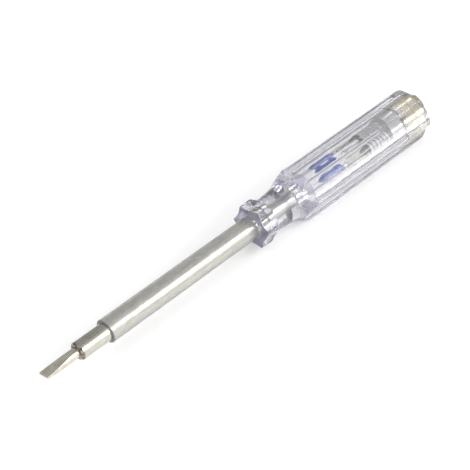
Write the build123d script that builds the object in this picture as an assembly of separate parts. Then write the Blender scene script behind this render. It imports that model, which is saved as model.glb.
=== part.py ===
"""Voltage tester screwdriver, built as its separate pieces.

The tool lies on two ridges of its fluted handle. The origin is on the surface under the middle
of its length, +X points from the blade's tip to the end cap, and +Z is up. Every piece is made
round the tool's axis, with x counted from the blade's tip, and is moved to that frame at the end.
"""

from build123d import *

import math
import os

# All lengths are in millimetres.

# Blade rod: one steel rod from the screwdriver tip to the resistor
rod_diameter = 2.8
tip_width = 3.1
tip_thickness = 0.55
blade_bare_length = 10.6
flat_run_under_barrel = 2.2
rod_tail_chamfer = 0.2

# Plated barrel on the rod
shank_diameter = 5.0
shank_bare_length = 9.4
shank_chamfer = 0.45

# Clear sleeve on the barrel
sleeve_diameter = 6.5
sleeve_bare_length = 52.0
sleeve_edge_chamfer = 0.2
sleeve_squeeze = 0.1
sleeve_squeeze_length = 0.6

# Handle: guard collar
collar_corner_radius = 6.35
collar_corner_width = 0.5
collar_hollow = 0.47
collar_length = 3.8
collar_slope_length = 1.5
sleeve_seat_depth = 3.8
mouth_chamfer = 0.15

# Handle: waist, shoulder and fluted grip
neck_radius = 4.95
neck_rear_radius = 5.6
neck_length = 7.6
neck_sag = 0.15
shoulder_length = 4.9
grip_length = 48.8
crest_radius = 7.65
crest_width = 1.6
flute_hollow = 0.55
butt_round = 1.2
flute_count = 6

# Handle: chamber for the resistor, lamp and spring, with a cone at its front
chamber_radius = 4.6
chamber_cone_length = 1.4

# Ferrule on the rod's tail
ferrule_diameter = 4.6
ferrule_length = 3.0
rod_tail_length = 14.6
knurl_count = 16
knurl_depth = 0.15

# Resistor
lead_diameter = 0.6
front_lead_bare_length = 7.6
rear_lead_bare_length = 0.7
coat_length = 7.7
coat_end_radius = 2.0
coat_waist_radius = 1.8
coat_end_slope = 0.6
coat_end_cover = 0.25
resistor_cap_radius = 1.7
resistor_cap_length = 1.6
resistor_cap_wall = 0.2
resistor_shift = 0.4

# Neon lamp: glass with a neck in front, and a contact cap on each end
lamp_length = 10.5
lamp_front_cap_radius = 1.5
lamp_front_cap_length = 1.3
lamp_rear_cap_radius = 3.4
lamp_rear_cap_length = 1.0
lamp_cap_wall = 0.2
lamp_cap_floor = 0.4
glass_neck_length = 1.2
glass_slope_length = 1.1
glass_wall = 0.4
glass_end_wall = 0.6
electrode_diameter = 0.7
electrode_length = 6.0
electrode_spacing = 1.4
lamp_shift = 0.6

# Contact spring, and the cup between it and the screw
spring_wire_diameter = 0.85
spring_outer_diameter = 7.0
spring_turns = 5
spring_length = 7.8
spring_wire_sides = 8
cup_radius = 4.45
cup_length = 4.7
cup_wall = 0.25
cup_floor = 0.5

# End cap: a screw with a pilot in the cup, a plain plug behind its thread, and a slotted head
pilot_radius = 4.1
thread_gap = 0.2
thread_length = 5.0
thread_radius = 5.0
thread_chamfer = 0.3
plug_radius = 5.2
plug_length = 4.0
head_radius = 5.8
head_rim_height = 0.4
head_height = 1.4
dome_bands = 2
slot_width = 1.0
slot_depth = 0.8

# Clearances, on the radius
press_clearance = 0.01
mould_clearance = 0.02
thread_clearance = 0.05
plug_clearance = 0.05
spring_seat_clearance = 0.05

# How far cutting shapes reach past what they cut
overrun = 1.0

# Places along the axis, from the blade's tip
shank_x = blade_bare_length
sleeve_x = shank_x + shank_bare_length
collar_x = sleeve_x + sleeve_bare_length
seat_x = collar_x + sleeve_seat_depth
collar_rear_x = collar_x + collar_length
neck_x = collar_rear_x + collar_slope_length
shoulder_x = neck_x + neck_length
crest_x = shoulder_x + shoulder_length
tail_x = seat_x + rod_tail_length
ferrule_x = tail_x - ferrule_length
butt_x = crest_x + grip_length
overall_length = butt_x + head_height

# What the grip's length leaves beside the pieces that keep their own length is split between the
# front lead, the thread and the plug, in the ratio of their sizes. It is their sum as they stand.
held_length = (
    coat_length + rear_lead_bare_length + lamp_length + spring_length + cup_length + thread_gap
)
free_length = butt_x - tail_x - held_length
free_share = free_length / (front_lead_bare_length + thread_length + plug_length)
coat_x = tail_x + free_share * front_lead_bare_length
coat_rear_x = coat_x + coat_length
lamp_x = coat_rear_x + rear_lead_bare_length
lamp_rear_x = lamp_x + lamp_length
cup_x = lamp_rear_x + spring_length
pilot_x = cup_x + cup_floor
thread_x = cup_x + cup_length + thread_gap
plug_x = thread_x + free_share * thread_length

# Radii that follow from the sizes above
rod_radius = rod_diameter / 2
shank_radius = shank_diameter / 2
sleeve_radius = sleeve_diameter / 2
ferrule_radius = ferrule_diameter / 2
lead_radius = lead_diameter / 2
electrode_radius = electrode_diameter / 2
electrode_offset = electrode_spacing / 2
glass_radius = lamp_rear_cap_radius - lamp_cap_wall - mould_clearance
glass_neck_radius = lamp_front_cap_radius - lamp_cap_wall - mould_clearance
core_radius = resistor_cap_radius - resistor_cap_wall - press_clearance
spring_wire_radius = spring_wire_diameter / 2
spring_radius = spring_outer_diameter / 2 - spring_wire_radius

# The grip lies on the inner corners of its two lowest crests
flute_angle = 360 / flute_count
crest_half_angle = math.degrees(math.asin(crest_width / 2 / crest_radius))
axis_height = crest_radius * math.cos(math.radians(flute_angle / 2 - crest_half_angle))


def turned(*points):
    """A solid turned round the tool's axis from an outline of (x, radius) points."""
    return revolve(make_face(Polyline(*points, close=True)), Axis.X)


def tube(x_start, x_end, inner_radius, outer_radius):
    """A plain tube along the tool's axis."""
    return turned(
        (x_start, inner_radius),
        (x_start, outer_radius),
        (x_end, outer_radius),
        (x_end, inner_radius),
    )


def round_bar(x_start, x_end, radius, offset=0):
    """A round bar parallel to the tool's axis, offset to the side by a distance along Y."""
    face = Plane(origin=(x_start, offset, 0), z_dir=(1, 0, 0)) * Circle(radius)
    return extrude(face, x_end - x_start)


def flute_cutters(x_start, x_end, corner_radius, corner_width, hollow):
    """Round bars that cut flanks hollow by that much between lands of corner_width."""
    land_angle = math.asin(corner_width / 2 / corner_radius)
    half_flute = math.pi / flute_count - land_angle
    edge_height = corner_radius * math.cos(half_flute)
    half_chord = corner_radius * math.sin(half_flute)
    cutter_radius = (hollow**2 + half_chord**2) / (2 * hollow)
    centre = edge_height - hollow + cutter_radius
    bars = []
    for index in range(flute_count):
        turn = math.radians(flute_angle * (index + 0.5))
        place = (x_start, centre * math.cos(turn), centre * math.sin(turn))
        face = Plane(origin=place, z_dir=(1, 0, 0)) * Circle(cutter_radius)
        bars.append(extrude(face, x_end - x_start))
    return bars


def blade_rod():
    """Steel rod whose end is ground on two sides to a flat tip and is spread a little wide."""
    rod = turned(
        (0, 0),
        (0, tip_width / 2),
        (shank_x, rod_radius),
        (tail_x - rod_tail_chamfer, rod_radius),
        (tail_x, rod_radius - rod_tail_chamfer),
        (tail_x, 0),
    )
    flat_end_x = shank_x + flat_run_under_barrel
    over_radius = rod_radius + overrun
    upper = [
        (0, tip_thickness / 2),
        (flat_end_x, rod_radius),
        (flat_end_x, over_radius),
        (tail_x + overrun, over_radius),
    ]
    lower = [(x, -height) for x, height in reversed(upper)]
    side_view = make_face(Plane.XZ * Polyline(*upper, *lower, close=True))
    return rod & extrude(side_view, over_radius, both=True)


def shank():
    """Plated barrel, pressed over the rod and chamfered at its bare front end."""
    bore = rod_radius + press_clearance
    return turned(
        (shank_x, bore),
        (shank_x, shank_radius - shank_chamfer),
        (shank_x + shank_chamfer, shank_radius),
        (seat_x, shank_radius),
        (seat_x, bore),
    )


def insulating_sleeve():
    """Clear tube shrunk over the barrel, squeezed a little thinner where the collar grips it."""
    bore = shank_radius + press_clearance
    gripped_radius = sleeve_radius - sleeve_squeeze
    return turned(
        (sleeve_x, bore),
        (sleeve_x, sleeve_radius - sleeve_edge_chamfer),
        (sleeve_x + sleeve_edge_chamfer, sleeve_radius),
        (collar_x - sleeve_squeeze_length, sleeve_radius),
        (collar_x, gripped_radius),
        (seat_x, gripped_radius),
        (seat_x, bore),
    )


def handle_blank():
    """Turned outline of the handle: collar, waist, shoulder cone, grip and rounded butt."""
    corner = butt_round * (1 - math.cos(math.pi / 4))
    front = Polyline(
        (collar_x, 0),
        (collar_x, collar_corner_radius),
        (collar_rear_x, collar_corner_radius),
        (neck_x, neck_radius),
    )
    waist = ThreePointArc(
        (neck_x, neck_radius),
        ((neck_x + shoulder_x) / 2, (neck_radius + neck_rear_radius) / 2 - neck_sag),
        (shoulder_x, neck_rear_radius),
    )
    grip = Polyline(
        (shoulder_x, neck_rear_radius),
        (crest_x, crest_radius),
        (butt_x - butt_round, crest_radius),
    )
    butt_edge = ThreePointArc(
        (butt_x - butt_round, crest_radius),
        (butt_x - corner, crest_radius - corner),
        (butt_x, crest_radius - butt_round),
    )
    rear = Polyline((butt_x, crest_radius - butt_round), (butt_x, 0), (collar_x, 0))
    return revolve(make_face(front + waist + grip + butt_edge + rear), Axis.X)


def handle_bore():
    """Stepped bore for the sleeve, rod and ferrule, then the chamber and the screw's bores."""
    seat_bore = sleeve_radius - sleeve_squeeze + mould_clearance
    mouth_radius = seat_bore + mouth_chamfer
    rod_bore = rod_radius + mould_clearance
    ferrule_bore = ferrule_radius + mould_clearance
    screw_bore = thread_radius + thread_clearance
    plug_bore = plug_radius + plug_clearance
    return turned(
        (collar_x - overrun, 0),
        (collar_x - overrun, mouth_radius),
        (collar_x, mouth_radius),
        (collar_x + mouth_chamfer, seat_bore),
        (seat_x, seat_bore),
        (seat_x, rod_bore),
        (ferrule_x, rod_bore),
        (ferrule_x, ferrule_bore),
        (tail_x, ferrule_bore),
        (tail_x + chamber_cone_length, chamber_radius),
        (thread_x, chamber_radius),
        (thread_x, screw_bore),
        (plug_x, screw_bore),
        (plug_x, plug_bore),
        (butt_x + overrun, plug_bore),
        (butt_x + overrun, 0),
    )


def handle():
    """Clear moulding: six hollow flutes run through the shoulder and out of the butt."""
    collar_cuts = flute_cutters(
        collar_x - overrun, neck_x, collar_corner_radius, collar_corner_width, collar_hollow
    )
    grip_cuts = flute_cutters(neck_x, butt_x + overrun, crest_radius, crest_width, flute_hollow)
    return handle_blank() - collar_cuts - grip_cuts - handle_bore()


def knurled_ferrule():
    """Ferrule pressed on the rod's tail, knurled along its length so that it holds in the mould."""
    ring = tube(ferrule_x, tail_x, rod_radius + press_clearance, ferrule_radius)
    groove_face = Rectangle(knurl_depth * math.sqrt(2), knurl_depth * math.sqrt(2), 45)
    grooves = []
    for index in range(knurl_count):
        turn = 2 * math.pi * index / knurl_count
        side = (0, -math.sin(turn), math.cos(turn))
        place = (
            ferrule_x - overrun,
            ferrule_radius * math.cos(turn),
            ferrule_radius * math.sin(turn),
        )
        face = Plane(origin=place, x_dir=side, z_dir=(1, 0, 0)) * groove_face
        grooves.append(extrude(face, ferrule_length + 2 * overrun))
    return ring - grooves


def resistor_core():
    """Ceramic rod that carries the resistive film."""
    floor = coat_end_cover + resistor_cap_wall
    return round_bar(coat_x + floor, coat_rear_x - floor, core_radius)


def resistor_cap(floor_x, direction):
    """Pressed cap over one end of the core, open towards the middle of the resistor."""
    inner_radius = resistor_cap_radius - resistor_cap_wall
    inner_x = floor_x + direction * resistor_cap_wall
    rim_x = floor_x + direction * resistor_cap_length
    return turned(
        (floor_x, 0),
        (floor_x, resistor_cap_radius),
        (rim_x, resistor_cap_radius),
        (rim_x, inner_radius),
        (inner_x, inner_radius),
        (inner_x, 0),
    )


def resistor_coat():
    """Lacquer over the core and caps, thick at both ends and drawn in between them."""
    lead_bore = lead_radius + press_clearance
    cap_bore = resistor_cap_radius + press_clearance
    core_bore = core_radius + press_clearance
    cap_front_x = coat_x + coat_end_cover
    cap_rear_x = coat_rear_x - coat_end_cover
    front_rim_x = cap_front_x + resistor_cap_length
    rear_rim_x = cap_rear_x - resistor_cap_length
    shoulder = coat_end_radius - coat_end_slope
    return turned(
        (coat_x, lead_bore),
        (coat_x, shoulder),
        (coat_x + coat_end_slope, coat_end_radius),
        (front_rim_x, coat_end_radius),
        (front_rim_x + coat_end_slope, coat_waist_radius),
        (rear_rim_x - coat_end_slope, coat_waist_radius),
        (rear_rim_x, coat_end_radius),
        (coat_rear_x - coat_end_slope, coat_end_radius),
        (coat_rear_x, shoulder),
        (coat_rear_x, lead_bore),
        (cap_rear_x, lead_bore),
        (cap_rear_x, cap_bore),
        (rear_rim_x, cap_bore),
        (rear_rim_x, core_bore),
        (front_rim_x, core_bore),
        (front_rim_x, cap_bore),
        (cap_front_x, cap_bore),
        (cap_front_x, lead_bore),
    )


def lamp_glass():
    """Glass of the lamp: a tube with a neck in front, sealed at both ends round its electrodes."""
    front_x = lamp_x + lamp_cap_floor
    rear_x = lamp_rear_x - lamp_cap_floor
    neck_rear_x = front_x + glass_neck_length
    body_x = neck_rear_x + glass_slope_length
    blank = turned(
        (front_x, 0),
        (front_x, glass_neck_radius),
        (neck_rear_x, glass_neck_radius),
        (body_x, glass_radius),
        (rear_x, glass_radius),
        (rear_x, 0),
    )
    hollow = round_bar(body_x, rear_x - glass_end_wall, glass_radius - glass_wall)
    seal_bore = electrode_radius + press_clearance
    middle_x = (front_x + rear_x) / 2
    front_hole = round_bar(front_x - overrun, middle_x, seal_bore, electrode_offset)
    rear_hole = round_bar(middle_x, rear_x + overrun, seal_bore, -electrode_offset)
    return blank - hollow - front_hole - rear_hole


def lamp_cap(floor_x, rim_x, direction, radius):
    """Contact cap on one end of the lamp, open towards the middle of the lamp."""
    inner_radius = radius - lamp_cap_wall
    inner_x = floor_x + direction * lamp_cap_floor
    return turned(
        (floor_x, 0),
        (floor_x, radius),
        (rim_x, radius),
        (rim_x, inner_radius),
        (inner_x, inner_radius),
        (inner_x, 0),
    )


def lamp_electrode(end_x, direction, offset):
    """One of the two electrodes that stand side by side in the gas."""
    inner_x = end_x + direction * electrode_length
    return round_bar(min(end_x, inner_x), max(end_x, inner_x), electrode_radius, offset)


def spring_end_room():
    """Room at each end between the face that the spring bears on and the wire's centre line."""
    return spring_wire_radius + spring_seat_clearance


def spring_pitch():
    """Rise of one turn, which fills the space between the lamp and the cup."""
    return (spring_length - 2 * spring_end_room()) / spring_turns


def spring_point(turn):
    """Point of the wire's centre line after a number of turns, wound from the origin."""
    angle = 2 * math.pi * turn
    return Vector(
        spring_pitch() * turn,
        spring_radius * math.cos(angle),
        spring_radius * math.sin(angle),
    )


def spring_direction(turn):
    """Unit direction of the wire's centre line after a number of turns."""
    angle = 2 * math.pi * turn
    girth = 2 * math.pi * spring_radius
    return Vector(spring_pitch(), -girth * math.sin(angle), girth * math.cos(angle)).normalized()


def biarc(start, start_direction, end, end_direction):
    """Two arcs that join two points and are tangent to a direction at each."""
    chord = end - start
    total = start_direction + end_direction
    square = 2 * (1 - start_direction.dot(end_direction))
    along = chord.dot(total)
    reach = (math.sqrt(along**2 + square * chord.dot(chord)) - along) / square
    joint = (start + end + (start_direction - end_direction) * reach) / 2
    first = Edge.make_tangent_arc(start, start_direction, joint)
    second = Edge.make_tangent_arc(joint, first.tangent_at(1), end)
    return [first, second]


def contact_spring():
    """Coil spring: one unbroken wire, wound at the origin on biarcs and put behind the lamp."""
    halves = 2 * spring_turns
    edges = []
    for half in range(halves):
        here = half / 2
        there = (half + 1) / 2
        edges += biarc(
            spring_point(here), spring_direction(here), spring_point(there), spring_direction(there)
        )
    path = Wire(edges)
    wire = RegularPolygon(spring_wire_radius, spring_wire_sides)
    start = Plane(origin=spring_point(0), z_dir=spring_direction(0))
    coil = sweep(start * wire, path=path)
    return Pos(lamp_rear_x + spring_end_room(), 0, 0) * coil


def spring_self_gap():
    """Least gap between two windings of the spring, measured on points of its centre line."""
    samples_per_turn = 24
    count = spring_turns * samples_per_turn
    points = [spring_point(index / samples_per_turn) for index in range(count + 1)]
    away = samples_per_turn // 2
    least = min(
        (points[first] - points[second]).length
        for first in range(count + 1)
        for second in range(first + away, count + 1)
    )
    return least - spring_wire_diameter


def spring_cup():
    """Cup that slides in the chamber: the spring bears on its floor, the screw's pilot fills it."""
    inner_radius = cup_radius - cup_wall
    rim_x = cup_x + cup_length
    return turned(
        (cup_x, 0),
        (cup_x, cup_radius),
        (rim_x, cup_radius),
        (rim_x, inner_radius),
        (pilot_x, inner_radius),
        (pilot_x, 0),
    )


def end_cap():
    """Screw that closes the chamber: pilot, plain stand-in for the thread, plug and domed head."""
    dome_height = head_height - head_rim_height
    dome_radius = (head_radius**2 + dome_height**2) / (2 * dome_height)
    dome_centre_x = overall_length - dome_radius
    dome = []
    for band in range(dome_bands + 1):
        radius = head_radius * (1 - band / dome_bands)
        dome.append((dome_centre_x + math.sqrt(dome_radius**2 - radius**2), radius))
    screw = turned(
        (pilot_x, 0),
        (pilot_x, pilot_radius),
        (thread_x, pilot_radius),
        (thread_x, thread_radius - thread_chamfer),
        (thread_x + thread_chamfer, thread_radius),
        (plug_x, thread_radius),
        (plug_x, plug_radius),
        (butt_x, plug_radius),
        (butt_x, head_radius),
        *dome,
    )
    slot_face = Plane(origin=(overall_length - slot_depth, 0, 0), z_dir=(1, 0, 0)) * Rectangle(
        2 * (head_radius + overrun), slot_width
    )
    return screw - extrude(slot_face, slot_depth + overrun)


def tester_pieces():
    """Every piece of the tool under its name, with the loose ones moved off the axis."""
    resistor_front_x = coat_x + coat_end_cover
    resistor_rear_x = coat_rear_x - coat_end_cover
    front_tip_x = lamp_x + lamp_front_cap_length
    rear_rim_x = lamp_rear_x - lamp_rear_cap_length
    raised = Pos(0, resistor_shift, resistor_shift)
    resting = Pos(0, -lamp_shift, -lamp_shift)
    front_electrode = lamp_electrode(lamp_x + lamp_cap_floor, 1, electrode_offset)
    rear_electrode = lamp_electrode(lamp_rear_x - lamp_cap_floor, -1, -electrode_offset)
    return {
        "blade_rod": blade_rod(),
        "shank": shank(),
        "insulating_sleeve": insulating_sleeve(),
        "handle": handle(),
        "knurled_ferrule": knurled_ferrule(),
        "resistor_front_lead": raised * round_bar(tail_x, resistor_front_x, lead_radius),
        "resistor_front_cap": raised * resistor_cap(resistor_front_x, 1),
        "resistor_core": raised * resistor_core(),
        "resistor_rear_cap": raised * resistor_cap(resistor_rear_x, -1),
        "resistor_coat": raised * resistor_coat(),
        "resistor_rear_lead": raised * round_bar(resistor_rear_x, lamp_x, lead_radius),
        "lamp_front_cap": resting * lamp_cap(lamp_x, front_tip_x, 1, lamp_front_cap_radius),
        "lamp_front_electrode": resting * front_electrode,
        "lamp_glass": resting * lamp_glass(),
        "lamp_rear_electrode": resting * rear_electrode,
        "lamp_rear_cap": resting * lamp_cap(lamp_rear_x, rear_rim_x, -1, lamp_rear_cap_radius),
        "contact_spring": resting * contact_spring(),
        "spring_cup": spring_cup(),
        "end_cap": end_cap(),
    }


os.makedirs("parts", exist_ok=True)
for name, piece in tester_pieces().items():
    export_step(Pos(-overall_length / 2, 0, axis_height) * piece, f"parts/{name}.step")
print(f"spring: {spring_turns} turns, least gap to itself {spring_self_gap():.2f} mm")
print(f"overall length {overall_length:.1f} mm, axis {axis_height:.2f} mm over the surface")
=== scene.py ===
"""Looks of a mains voltage tester screwdriver with a clear handle, piece by piece as it is put together.

Every piece is drawn round the tool's own axis in millimetres, with x counted from the blade's tip.
"""

import math

import bmesh
import bpy
from mathutils import Matrix, Vector


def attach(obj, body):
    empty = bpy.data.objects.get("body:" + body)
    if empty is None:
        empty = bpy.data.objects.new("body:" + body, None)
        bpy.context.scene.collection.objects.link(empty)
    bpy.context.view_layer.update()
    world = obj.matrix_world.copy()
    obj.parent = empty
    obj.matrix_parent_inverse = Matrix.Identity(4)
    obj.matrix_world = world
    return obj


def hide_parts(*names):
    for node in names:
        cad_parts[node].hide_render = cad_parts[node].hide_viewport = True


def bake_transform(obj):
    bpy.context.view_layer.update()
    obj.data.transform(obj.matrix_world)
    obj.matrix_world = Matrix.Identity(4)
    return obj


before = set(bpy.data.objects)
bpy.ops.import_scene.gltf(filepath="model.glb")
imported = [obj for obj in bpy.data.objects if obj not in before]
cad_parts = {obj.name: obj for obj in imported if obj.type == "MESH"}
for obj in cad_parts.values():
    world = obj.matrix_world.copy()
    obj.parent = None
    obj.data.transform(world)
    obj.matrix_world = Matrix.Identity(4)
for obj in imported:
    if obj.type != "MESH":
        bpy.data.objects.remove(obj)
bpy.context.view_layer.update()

# Blade rod: one drawn steel rod. Its end is ground on two sides to the flat screwdriver tip and is
# spread a little wider than the rod. The grinding leaves fine lines across the flats, and use has
# rubbed the tip bright.

tool_length = 140.0
axis_height = 6.98877
rod_radius = 1.4
tip_half_width = 1.55
tip_half_thickness = 0.275
flat_end_x = 12.8
barrel_x = 10.6
rod_tail_x = 90.4
tail_chamfer = 0.2
tip_ease = 0.06
station_step = 0.4
plate_fade = 1.0
sharp_edge = math.radians(38)


def on_tool(x, y, z):
    """A point of the tool in the shared frame, in metres."""
    return ((x - tool_length / 2) / 1000, y / 1000, (z + axis_height) / 1000)


def skin_over(name, rings, closed=False, shift=0.0):
    """A smooth skin over rings of points, moved by shift to the side and up.

    A ring of one point closes that end.
    """
    points = []
    starts = []
    for ring in rings:
        starts.append(len(points))
        points += [on_tool(x, y + shift, z + shift) for x, y, z in ring]
    faces = []
    pairs = list(zip(range(len(rings)), range(1, len(rings))))
    if closed:
        pairs.append((len(rings) - 1, 0))
    for here, there in pairs:
        sides = max(len(rings[here]), len(rings[there]))
        for side in range(sides):
            following = (side + 1) % sides
            corners = []
            for ring, index in ((here, side), (here, following), (there, following), (there, side)):
                corner = starts[ring] + (index if len(rings[ring]) > 1 else 0)
                if corner not in corners:
                    corners.append(corner)
            faces.append(corners)
    mesh = bpy.data.meshes.new(name)
    mesh.from_pydata(points, [], faces)
    shape = bmesh.new()
    shape.from_mesh(mesh)
    bmesh.ops.recalc_face_normals(shape, faces=shape.faces)
    shape.to_mesh(mesh)
    shape.free()
    mesh.shade_smooth()
    mesh.set_sharp_from_angle(angle=sharp_edge)
    piece = bpy.data.objects.new(name, mesh)
    bpy.context.scene.collection.objects.link(piece)
    return piece


def fit_piece(piece, finish, body, node):
    """Gives a piece its finish, and puts it on its body in place of the plain node."""
    piece.data.materials.append(finish)
    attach(piece, body)
    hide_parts(node)


def new_finish(name, colour, roughness, **sockets):
    """A finish with its plain values set on the shader's own sockets."""
    finish = bpy.data.materials.new(name)
    finish.use_nodes = True
    shader = finish.node_tree.nodes["Principled BSDF"]
    shader.inputs["Base Color"].default_value = (*colour, 1)
    shader.inputs["Roughness"].default_value = roughness
    for socket, value in sockets.items():
        shader.inputs[socket.replace("_", " ")].default_value = value
    return finish


def grain(finish, size, run=(1, 1, 1), detail=3, offset=0.0):
    """Noise over the piece with grains of that size in millimetres, drawn out where run is small."""
    nodes, links = finish.node_tree.nodes, finish.node_tree.links
    place = nodes.new("ShaderNodeTexCoord")
    spread = nodes.new("ShaderNodeMapping")
    spread.inputs["Scale"].default_value = [1000 / size * share for share in run]
    spread.inputs["Location"].default_value = (offset, offset * 1.7, offset * 0.6)
    noise = nodes.new("ShaderNodeTexNoise")
    noise.inputs["Scale"].default_value = 1
    noise.inputs["Detail"].default_value = detail
    links.new(place.outputs["Object"], spread.inputs["Vector"])
    links.new(spread.outputs["Vector"], noise.inputs["Vector"])
    return noise.outputs["Fac"]


def between(finish, value, low, high, start=0.3, end=0.7):
    """Eases from low to high while the value goes from start to end, which may lie below start."""
    nodes, links = finish.node_tree.nodes, finish.node_tree.links
    ramp = nodes.new("ShaderNodeMapRange")
    ramp.interpolation_type = "SMOOTHSTEP"
    for socket, number in (("From Min", start), ("From Max", end), ("To Min", low), ("To Max", high)):
        ramp.inputs[socket].default_value = number
    links.new(value, ramp.inputs["Value"])
    return ramp.outputs["Result"]


def combined(finish, operation, first, second):
    """Two values, or a value and a number, joined by one operation."""
    nodes, links = finish.node_tree.nodes, finish.node_tree.links
    node = nodes.new("ShaderNodeMath")
    node.operation = operation
    for socket, value in zip(node.inputs, (first, second)):
        if isinstance(value, (int, float)):
            socket.default_value = value
        else:
            links.new(value, socket)
    return node.outputs["Value"]


def shades(finish, value, *stops):
    """Colours along a value: stops of (place, colour)."""
    nodes, links = finish.node_tree.nodes, finish.node_tree.links
    ramp = nodes.new("ShaderNodeValToRGB")
    band = ramp.color_ramp
    for place, colour in stops[2:]:
        band.elements.new(place)
    for element, (place, colour) in zip(band.elements, sorted(stops)):
        element.position = place
        element.color = (*colour, 1)
    links.new(value, ramp.inputs["Fac"])
    return ramp.outputs["Color"]


def paint(finish, socket, output):
    """Lets a value or colour drive one socket of the finish's shader."""
    shader = finish.node_tree.nodes["Principled BSDF"]
    finish.node_tree.links.new(output, shader.inputs[socket])


def relief(finish, *layers):
    """Raises the surface by layers of (value, height in millimetres), one over another."""
    nodes, links = finish.node_tree.nodes, finish.node_tree.links
    below = None
    for value, height in layers:
        bump = nodes.new("ShaderNodeBump")
        bump.inputs["Strength"].default_value = 1
        bump.inputs["Distance"].default_value = height / 1000
        links.new(value, bump.inputs["Height"])
        if below is not None:
            links.new(below, bump.inputs["Normal"])
        below = bump.outputs["Normal"]
    links.new(below, nodes["Principled BSDF"].inputs["Normal"])


def along_tool(finish, start, end):
    """A value that goes from 0 at one place along the tool to 1 at another, ahead or behind."""
    nodes, links = finish.node_tree.nodes, finish.node_tree.links
    place = nodes.new("ShaderNodeTexCoord")
    parts = nodes.new("ShaderNodeSeparateXYZ")
    links.new(place.outputs["Object"], parts.inputs["Vector"])
    return between(finish, parts.outputs["X"], 0, 1, on_tool(start, 0, 0)[0], on_tool(end, 0, 0)[0])


def mixed(finish, share, first, second):
    """The first colour where share is 0 and the second where it is 1."""
    nodes, links = finish.node_tree.nodes, finish.node_tree.links
    mix = nodes.new("ShaderNodeMix")
    mix.data_type = "RGBA"
    for socket, output in (("Factor", share), ("A", first), ("B", second)):
        links.new(output, next(s for s in mix.inputs if s.name == socket and s.enabled))
    return next(s for s in mix.outputs if s.enabled)


def tint(finish, value, *stops, share=None):
    """Colours a finish along a value; with a share, only where that is near 1, over the colour below."""
    colour = shades(finish, value, *stops)
    if share is not None:
        below = finish.node_tree.nodes["Principled BSDF"].inputs["Base Color"].links[0].from_socket
        colour = mixed(finish, share, below, colour)
    paint(finish, "Base Color", colour)


def blade_section(x, radius, half_thickness, arc_steps=14, flat_steps=10):
    """The rod's section there: round at its two edges and ground flat above and below.

    Where it is round all the way, a flat of almost no width is left, so all sections have like points.
    """
    height = min(half_thickness, radius * 0.9999)
    edge = math.asin(height / radius)
    half_width = radius * math.cos(edge)
    points = []
    for side in (1, -1):
        for step in range(arc_steps):
            turn = edge * (2 * step / arc_steps - 1)
            points.append((x, side * radius * math.cos(turn), side * radius * math.sin(turn)))
        for step in range(flat_steps):
            share = 1 - 2 * step / flat_steps
            points.append((x, side * half_width * share, side * height))
    return points


def blade_rings():
    """Sections from the tip's thin end to the rod's tail."""
    rings = [[(0.0, 0.0, 0.0)]]
    stations = [
        (tip_ease * (1 - math.cos(turn)), tip_ease * (1 - math.sin(turn))) for turn in (0.0, 0.5, 1.0)
    ]
    stations += [(station_step * step, 0.0) for step in range(1, round(flat_end_x / station_step))]
    stations.append((flat_end_x, 0.0))
    for x, ease in stations:
        share = x / flat_end_x
        radius = tip_half_width + (rod_radius - tip_half_width) * min(x / barrel_x, 1)
        thickness = tip_half_thickness + (rod_radius - tip_half_thickness) * share
        rings.append(blade_section(x, radius - ease, thickness - ease))
    rings.append(blade_section(rod_tail_x - tail_chamfer, rod_radius, rod_radius))
    rings.append(blade_section(rod_tail_x, rod_radius - tail_chamfer, rod_radius))
    rings.append([(rod_tail_x, 0.0, 0.0)])
    return rings


ground_steel = new_finish("ground_steel", (0.5, 0.48, 0.42), 0.34, Metallic=1.0)
grind_lines = grain(ground_steel, 0.05, (1, 0.02, 0.3), detail=5)
coarse_lines = grain(ground_steel, 0.22, (1, 0.04, 0.4), detail=2, offset=3.1)
stain = grain(ground_steel, 1.6, detail=4, offset=7.7)
stained_lines = combined(
    ground_steel,
    "MULTIPLY",
    between(ground_steel, stain, 0, 1),
    between(ground_steel, coarse_lines, 0.5, 1),
)
tint(
    ground_steel,
    stained_lines,
    (0.0, (0.71, 0.68, 0.585)),
    (0.6, (0.62, 0.585, 0.49)),
    (1.0, (0.5, 0.455, 0.37)),
)
paint(ground_steel, "Roughness", between(ground_steel, grind_lines, 0.26, 0.46))
relief(ground_steel, (coarse_lines, 0.004), (grind_lines, 0.0022))
plated_part = along_tool(ground_steel, barrel_x, barrel_x + plate_fade)
tint(ground_steel, stain, (0.3, (0.86, 0.855, 0.83)), (0.7, (0.76, 0.75, 0.71)), share=plated_part)
ground_blade = skin_over("ground_blade", blade_rings())
fit_piece(ground_blade, ground_steel, "handle_body", "blade_rod")

# Barrel: a steel tube pressed over the rod from near the tip to inside the collar, turned and then
# nickel plated. The plate is bright with a warm cast and shows the turning as very fine rings. Long
# darker streaks on it and its dark mouth are painted reflection.

barrel_radius = 2.5
barrel_chamfer = 0.45
seat_x = 75.8
press_gap = 0.01
mouth_reflection_from = 0.4
mouth_reflection_to = 0.85
on_axis = 1e-6


def eased(points, ease, steps=4, closed=True, longest=0.45):
    """Rounds the corners of an outline by about that radius.

    A rounding takes at most the longest share of a side, so two of them never meet.
    """
    rounded = []
    count = len(points)
    for index, point in enumerate(points):
        corner = Vector(point)
        if not closed and index in (0, count - 1):
            rounded.append(tuple(corner))
            continue
        before = Vector(points[index - 1]) - corner
        after = Vector(points[(index + 1) % count]) - corner
        opening = before.angle(after)
        reach = min(ease / math.tan(opening / 2), before.length * longest, after.length * longest)
        start = corner + before.normalized() * reach
        end = corner + after.normalized() * reach
        for step in range(steps + 1):
            share = step / steps
            spot = start * (1 - share) ** 2 + corner * 2 * share * (1 - share) + end * share**2
            rounded.append(tuple(spot))
    return rounded


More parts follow.
